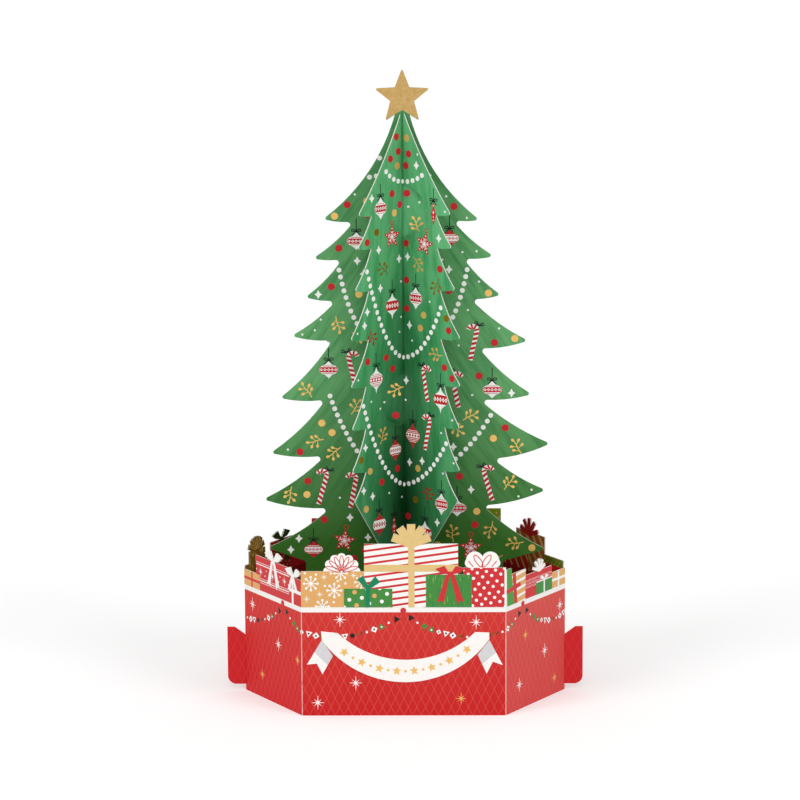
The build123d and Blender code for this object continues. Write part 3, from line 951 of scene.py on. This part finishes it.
def sprig(pen, ink):
    """A berry sprig: a bent stem with a few twigs, each ending in a berry."""
    pen.line(ink, [(-3.0, -1.7), (-1.0, -0.4), (0.6, 0.1), (1.9, 0.9)], 0.36)
    berry = [(-0.3, 0.16), (0.25, 0.52), (0.75, 0.5), (1.15, 0.2)]
    berry += [(u, -z) for u, z in reversed(berry)]
    for start, end in (((-1.9, -1.0), (-1.6, 0.7)), ((-1.0, -0.4), (0.2, -1.7)), ((-0.2, -0.1), (-0.1, 1.5)),
                       ((0.6, 0.1), (1.9, -0.6)), ((1.9, 0.9), (2.1, 1.1))):
        pen.line(ink, [start, end], 0.26)
        lean = math.degrees(math.atan2(end[1] - start[1], end[0] - start[0]))
        pen.at(*end, turn=lean).shape(ink, berry)


def gold_sprig(pen, turn):
    # One sprig in three is in the darker gold: painted shade
    sprig(pen.at(0, 0, turn=turn * 67 % 360, scale=0.92), by_turns(turn, ("gold", "gold", "dull_gold")))


def red_sprig(pen, turn):
    sprig(pen.at(0, 0, turn=turn * 53 % 360, scale=0.85), "dark_red")


def red_dot(pen, turn):
    pen.dot("tree_red", 0, 0, 1.25, steps=18)


def gold_dot(pen, turn):
    # One dot in three is in the darker gold: painted shade
    pen.dot(by_turns(turn, ("gold", "gold", "dull_gold")), 0, 0, 1.25, steps=18)


def sparkle(pen, turn, reach=1.6):
    """Four points, the upright ones a little longer."""
    outline = []
    for i in range(4):
        outline += [polar(reach if i % 2 else 0.82 * reach, i * 90), polar(0.46 * reach, i * 90 + 45)]
    pen.shape("white", outline)


def speck(pen, turn):
    pen.dot("white", 0, 0, 0.4, steps=8)


# The discs of bare card that each kind needs: places and radii round its middle
DISCS = {
    bauble: [(0, 0, 3.5), (0, -3.4, 0.7), (0, 5, 1.6), (0, 7.9, 0.6)],
    broad_bauble: [(0, 0, 3.4), (0, 4.2, 1.6), (0, 7, 0.6)],
    drop_bauble: [(0, 0, 3.4), (0, -4, 0.9), (0, 5.2, 1.6), (0, 8.4, 0.6)],
    spindle: [(0, 0, 2.0), (0, -3.4, 0.9), (0, 4.6, 1.6), (0, 7.8, 0.6)],
    cane: [(0, 0, 1.8), (0, 4.4, 3.8), (-1.3, -4, 1), (1.3, -4, 1), (-1.6, -6.6, 1), (1.6, -6.6, 1)],
    snow_star: [(0, 0, 4.3), (0, 5, 1)],
    gold_sprig: [(0, 0, 3.1)],
    red_sprig: [(0, 0, 2.9)],
    red_dot: [(0, 0, 1.5)],
    gold_dot: [(0, 0, 1.5)],
    sparkle: [(0, 0, 1.6)],
    speck: [(0, 0, 1.0)],
}

# How many of each kind lie on a fin of a folded sheet
FIN_COUNTS = [(snow_star, 1), (drop_bauble, 3), (bauble, 2), (spindle, 1), (cane, 2), (gold_sprig, 6),
              (red_sprig, 1), (red_dot, 11), (gold_dot, 6), (sparkle, 9), (speck, 9)]
# Half of the centre sheet: first where the folded sheets leave it in view, and then all over it
OUTER_COUNTS = [(snow_star, 1), (cane, 3), (broad_bauble, 3), (drop_bauble, 1), (gold_sprig, 7)]
SIDE_COUNTS = [(snow_star, 1), (cane, 1), (broad_bauble, 1), (drop_bauble, 1), (gold_sprig, 9),
               (red_sprig, 1), (red_dot, 20), (gold_dot, 14), (sparkle, 15), (speck, 14)]
# A half-round flap
FLAP_COUNTS = [(gold_sprig, 1), (red_dot, 1), (sparkle, 1), (speck, 2)]

# Garlands as their two ends and the pull of the sag between them, for a folded sheet's two fins, for both
# halves of the centre sheet, and for its left and its right half alone
LEFT_FIN_SWAGS = [[(0, 180.5), (5.5, 180.5), (10, 186.5)], [(0, 119.2), (10, 121), (19, 154)],
                  [(0, 74.2), (12, 77), (21.5, 108)]]
RIGHT_FIN_SWAGS = [[(0, 180.5), (8, 180.3), (14, 188)], [(0, 119.2), (11, 120), (19, 142)],
                   [(0, 74.2), (12, 76), (22, 95)]]
SIDE_SWAGS = [[(3, 188), (8, 187.5), (12, 191)], [(9, 182.3), (12, 181), (16, 184)],
              [(16, 131), (20, 138), (22.5, 152)]]
OWN_SWAGS = {-1: [(15, 84), (22.5, 95), (26.2, 107.6)], 1: [(14, 80), (24, 87), (31, 100)]}


def pearls(pen, route, taken):
    """A garland of pearls along a hanging route given by three points: its ends and its lowest stretch."""
    pitch, radius, steps, room, off_fold = 2.38, 0.86, 120, 1.2, 0.3
    run = pitch
    last = route[0]
    for i in range(steps + 1):
        t = i / steps
        u, z = ((1 - t) ** 2 * a + 2 * t * (1 - t) * b + t * t * c for a, b, c in zip(*route))
        run += math.hypot(u - last[0], z - last[1])
        last = (u, z)
        if run >= pitch:
            run = 0.0
            # A pearl on a fold is judged by the card beside it
            if pen.face.sheet.holds(pen.face, max(u, radius + off_fold), z, radius):
                pen.dot("white", u, z, radius, layer=1, steps=16)
            taken.append((u, z, room))


def scatter(face, near, reach, low, high, counts, taken, seed):
    """Lays ornaments on a face, evenly spread, where card is and nothing else lies.

    Large kinds, which hang from something, come first, kind by kind, and then the small kinds by turns.
    """
    draw = random.Random(seed)
    pen = Print(face, 1)
    tries, least_gap, most_gap = 110, 0.3, 50.0
    queue = []
    for make, count in counts:
        large = max(up for _, up, _ in DISCS[make]) > 0
        for index in range(count):
            queue.append((not large, 0 if large else (index + 1) / (count + 1), make, index))
    queue.sort(key=lambda entry: entry[:2])
    for _, _, make, index in queue:
        best_gap, best = least_gap, None
        for _ in range(tries):
            u, z = draw.uniform(near, reach), draw.uniform(low, high)
            seats = [(u + du, z + dz, radius) for du, dz, radius in DISCS[make]]
            gap = most_gap
            for a, b, radius in seats:
                gap = min([gap] + [math.hypot(a - c, b - d) - room - radius for c, d, room in taken])
                if gap <= best_gap:
                    break
            if gap > best_gap and all(face.sheet.holds(face, *seat) for seat in seats):
                best_gap, best = gap, (u, z, seats)
        if best:
            make(pen.at(*best[:2]), index + seed)
            taken += best[2]


def fin_faces(toward, sheet):
    """Both faces of both fins of a folded sheet, from the spine outwards, with the fin's side."""
    faces = []
    for side, angle in ((-1, LEFT_ANGLE), (1, RIGHT_ANGLE)):
        along = Vector((side * math.cos(angle), -math.sin(angle), 0)) * (-toward)
        out = Vector((-side * math.sin(angle), -math.cos(angle), 0)) * (-toward)
        spine = Vector((0, toward * CARD, 0))
        for facing in (1, -1):
            faces.append((side, Face(spine + out * (facing * CARD / 2), along, out * facing, sheet)))
    return faces


def print_fins(toward, sheet, seed):
    near, foot, tip, reach = 1.0, 58, 200, 25.5
    beside_spine = rectangle(CARD / 2, 60, 0, 220)
    for index, (side, face) in enumerate(fin_faces(toward, sheet)):
        taken = []
        for route in (LEFT_FIN_SWAGS if side < 0 else RIGHT_FIN_SWAGS):
            pearls(Print(face, 1, window=beside_spine), route, taken)
        scatter(face, near, reach, foot, tip, FIN_COUNTS, taken, seed + index)
    # The half-round flaps that hold the sheet to the centre sheet
    flap_reach, flap_half = 11, 9
    for side, middle in ((1, 170.4), (-1, 104.6)):
        flap = Face((0, toward * 1.5 * CARD, 0), (-toward * side, 0, 0), (0, toward, 0), sheet)
        low, high = middle - flap_half, middle + flap_half
        scatter(flap, near, flap_reach, low, high, FLAP_COUNTS, [], seed + side)


def print_centre(sheet):
    # The least and the greatest distance from the stem, and the least and the greatest height
    outer, whole = (16, 46, 46, 170), (1.0, 50, 46, 198)
    for out in (-1, 1):
        for side in (-1, 1):
            # The centre sheet shows plain gold in place of the darker, painted-shade gold
            face = Face((0, out * CARD / 2, 0), (side, 0, 0), (0, out, 0), sheet, {"dull_gold": "gold"})
            taken = []
            for route in SIDE_SWAGS + [OWN_SWAGS[side]]:
                pearls(Print(face, 1), route, taken)
            seed = 3 * out + side
            scatter(face, *outer, OUTER_COUNTS, taken, 40 + seed)
            scatter(face, *whole, SIDE_COUNTS, taken, 50 + seed)


def print_walls(front, back):
    for outer in (True, False):
        left, middle, right = ring_faces(-1, outer, front)
        print_presents(middle, FRONT_WALL)
        print_presents(left, LEFT_WALL, SIDE_WIDTH)
        print_presents(right, RIGHT_WALL, SIDE_WIDTH)
        first, middle, last = ring_faces(1, outer, back)
        print_presents(first, BACK_RIGHT_WALL, SIDE_WIDTH)
        print_presents(middle, BACK_WALL, 2 * HALF_FRONT)
        print_presents(last, BACK_LEFT_WALL, SIDE_WIDTH)
    for toward, sheet in ((-1, front), (1, back)):
        left, middle, right = ring_faces(toward, True, sheet)
        width = 2 * HALF_FRONT
        stretches = [(left, -SIDE_WIDTH, 0), (middle, 0, width), (right, width, width + SIDE_WIDTH)]
        for start, end, sag in SWAGS:
            swag(stretches, start, end, sag)
        for u in PEGS:
            for face, low, high in stretches:
                if low < u < high:
                    Print(face, 5).dot("bright_red", u - low, PEG_HEIGHT - 0.2, 1.0, steps=16)
        for face, places in ((middle, MIDDLE_BURSTS), (left, LEFT_BURSTS), (right, RIGHT_BURSTS)):
            for u, z, ink in places:
                burst(Print(face).at(u, z), ink, BURST_REACH[ink])
    banner(Print(ring_faces(-1, True, front)[1], 4).at(HALF_FRONT, 0))


# Dressed and printed sheets

inks = {name: ink_look(name, code) for name, code in INKS.items()}
sheets = []
for node, slot, material in (
    ("box_front", "front_wall_card", wall_look("printed_front_walls", -1)),
    ("box_back", "back_wall_card", wall_look("printed_back_walls", 1)),
    ("tree_centre_sheet", "centre_sheet_card", centre_look()),
    ("tree_front_fins", "front_fin_card", fin_look("printed_front_fins", -1)),
    ("tree_back_fins", "back_fin_card", fin_look("printed_back_fins", 1)),
):
    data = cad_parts[node].data
    data.materials.clear()
    data.materials.append(material)
    sheets.append(Sheet(node, slot))

front_walls, back_walls, centre_sheet, front_fins, back_fins = sheets
print_walls(front_walls, back_walls)
print_centre(centre_sheet)
print_fins(-1, front_fins, 11)
print_fins(1, back_fins, 23)
for sheet in sheets:
    sheet.build()


# Camera, floor and light

def add_camera():
    place = Vector((16.86, -1225.03, 348.02)) * MM
    yaw, pitch, roll = 0.0148194, 0.1966242, -0.0055549
    data = bpy.data.cameras.new("camera")
    data.sensor_width = 36
    data.lens = 162
    camera = bpy.data.objects.new("camera", data)
    camera.matrix_world = Matrix.Translation(place)
    for angle, axis in ((yaw, "Z"), (math.pi / 2 - pitch, "X"), (roll, "Z")):
        camera.matrix_world @= Matrix.Rotation(angle, 4, axis)
    bpy.context.scene.collection.objects.link(camera)
    bpy.context.scene.camera = camera


def seen_directly(tree):
    """1 for a camera ray and for what gloss or glass shows, and 0 for the light that falls on things."""
    outputs = add_node(tree, "LightPath", {}).outputs
    names = ("Is Camera Ray", "Is Glossy Ray", "Is Transmission Ray")
    camera, glossy, through = (Field(tree, outputs[name]) for name in names)
    return camera.math("MAXIMUM", glossy.math("MAXIMUM", through))


def add_floor():
    """A pale floor that shows white and keeps the card's shadow."""
    size, grey, glow_strength, drop = 12.0, 0.78, 0.29, 0.02
    mesh = bpy.data.meshes.new("floor")
    mesh.from_pydata([(u, z, 0) for u, z in rectangle(-size, size, -size, size)], [], [(0, 1, 2, 3)])
    floor = bpy.data.objects.new("floor", mesh)
    look = Look("pale_floor", roughness=0.95, specular=0.0)
    feed(look.shader, {"Base Color": (grey, grey, grey, 1)})
    glow = add_node(look.tree, "Emission", {"Strength": seen_directly(look.tree) * glow_strength})
    shown = add_node(look.tree, "AddShader", {0: look.shader.outputs[0], 1: glow.outputs[0]})
    feed(look.tree.nodes["Material Output"], {"Surface": shown.outputs[0]})
    mesh.materials.append(look.material)
    bpy.context.scene.collection.objects.link(floor)
    floor.location.z = -drop * MM


def add_sun(name, azimuth, height, strength, softness):
    """A far, soft lamp. azimuth is turned from straight in front towards the right, in degrees."""
    data = bpy.data.lights.new(name, "SUN")
    data.energy = strength
    data.angle = math.radians(softness)
    lamp = bpy.data.objects.new(name, data)
    a, h = math.radians(azimuth), math.radians(height)
    toward_lamp = Vector((math.sin(a) * math.cos(h), -math.cos(a) * math.cos(h), math.sin(h)))
    lamp.rotation_euler = toward_lamp.to_track_quat("Z", "Y").to_euler()
    lamp.location = toward_lamp
    bpy.context.scene.collection.objects.link(lamp)


def add_world(strength):
    """White light of a strength from all round, behind which the camera sees plain white."""
    world = bpy.data.worlds.new("studio")
    bpy.context.scene.world = world
    world.use_nodes = True
    tree, white = world.node_tree, (1, 1, 1, 1)
    fill = feed(tree.nodes["Background"], {"Color": white, "Strength": strength})
    shown = add_node(tree, "Background", {"Color": white})
    mix = add_node(tree, "MixShader", {0: seen_directly(tree), 1: fill.outputs[0], 2: shown.outputs[0]})
    feed(tree.nodes["World Output"], {0: mix.outputs[0]})


add_camera()
add_floor()
add_world(0.6)
add_sun("key", -54, 34, 0.8, 26)
add_sun("fill", 54, 34, 0.7, 26)
add_sun("front", 0, 34, 0.45, 26)
bpy.context.scene.view_settings.view_transform = "Standard"
